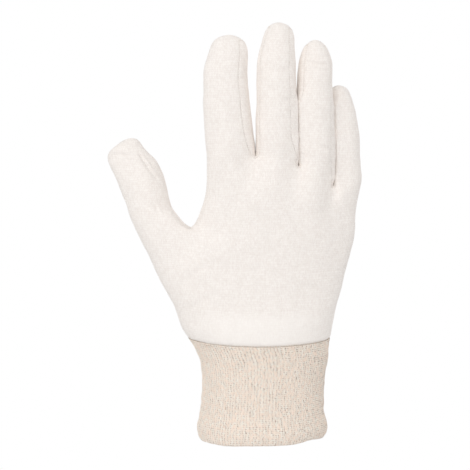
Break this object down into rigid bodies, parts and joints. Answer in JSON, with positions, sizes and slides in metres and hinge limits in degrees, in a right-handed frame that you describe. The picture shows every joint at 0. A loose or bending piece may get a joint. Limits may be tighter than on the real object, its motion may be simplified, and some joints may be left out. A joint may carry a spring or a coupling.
{
  "type": "cotton work glove",
  "caption": "Knitted cotton work glove for the right hand, with side strips sewn between the fingers and a ribbed knit wrist, open and upright.",
  "frame": {"origin": "centre of the wrist opening, in the plane of the folded edge of the knit wrist", "axes": "+Z from the wrist opening to the fingertips, +X from the thumb to the little finger, -Y out of the back of the hand, +Y out of the palm"},
  "size_m": [0.154, 0.0554, 0.2496],
  "materials": {
    "glove_cloth": "soft, matt knitted cotton",
    "rib_knit": "ribbed, unbleached cotton knit, matt"
  },
  "bodies": {
    "root": {"back_panel": "glove_cloth", "palm_panel": "glove_cloth", "fourchette_index_middle": "glove_cloth", "fourchette_middle_ring": "glove_cloth", "fourchette_ring_little": "glove_cloth", "knit_wrist": "rib_knit"}
  },
  "joints": []
}
